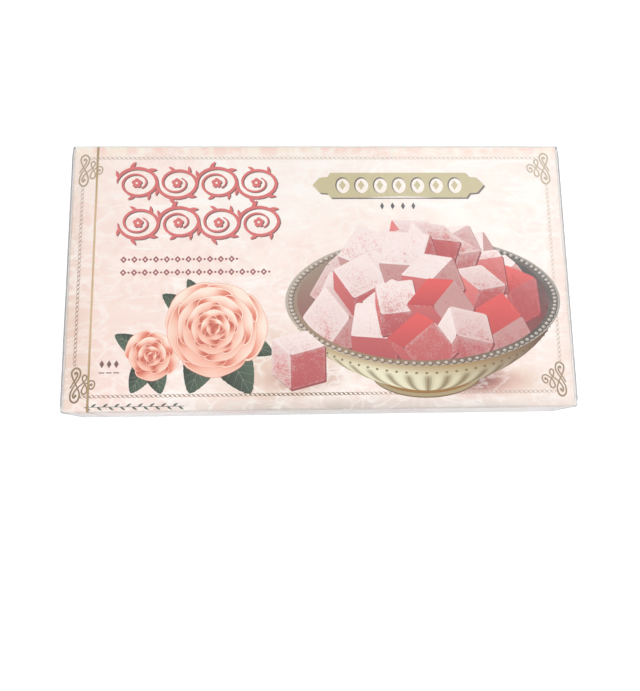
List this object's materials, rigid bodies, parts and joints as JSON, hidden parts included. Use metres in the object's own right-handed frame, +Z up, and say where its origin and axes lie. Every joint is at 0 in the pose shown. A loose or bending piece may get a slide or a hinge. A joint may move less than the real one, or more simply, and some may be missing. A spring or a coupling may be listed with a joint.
{
  "type": "turkish delight carton",
  "caption": "Flat rectangular folding carton of Turkish delight, shut and overwrapped in clear film with a gold tear tape across one end.",
  "frame": {"origin": "middle of the underside, on the surface the pack lies on", "axes": "+X along the length, away from the tear tape; +Y across the width, towards the top edge of the printed face; +Z up, out of the printed face"},
  "size_m": [0.245, 0.1326, 0.035],
  "materials": {
    "printed_board": "coated board, pale pink marbled print under a soft sheen",
    "gold_tape": "thin gold film tape, slightly see-through",
    "clear_film": "clear glossy film, tight with fine ripples"
  },
  "bodies": {
    "root": {"carton": "printed_board", "tear_tape": "gold_tape", "film_wrap": "clear_film"}
  },
  "joints": []
}
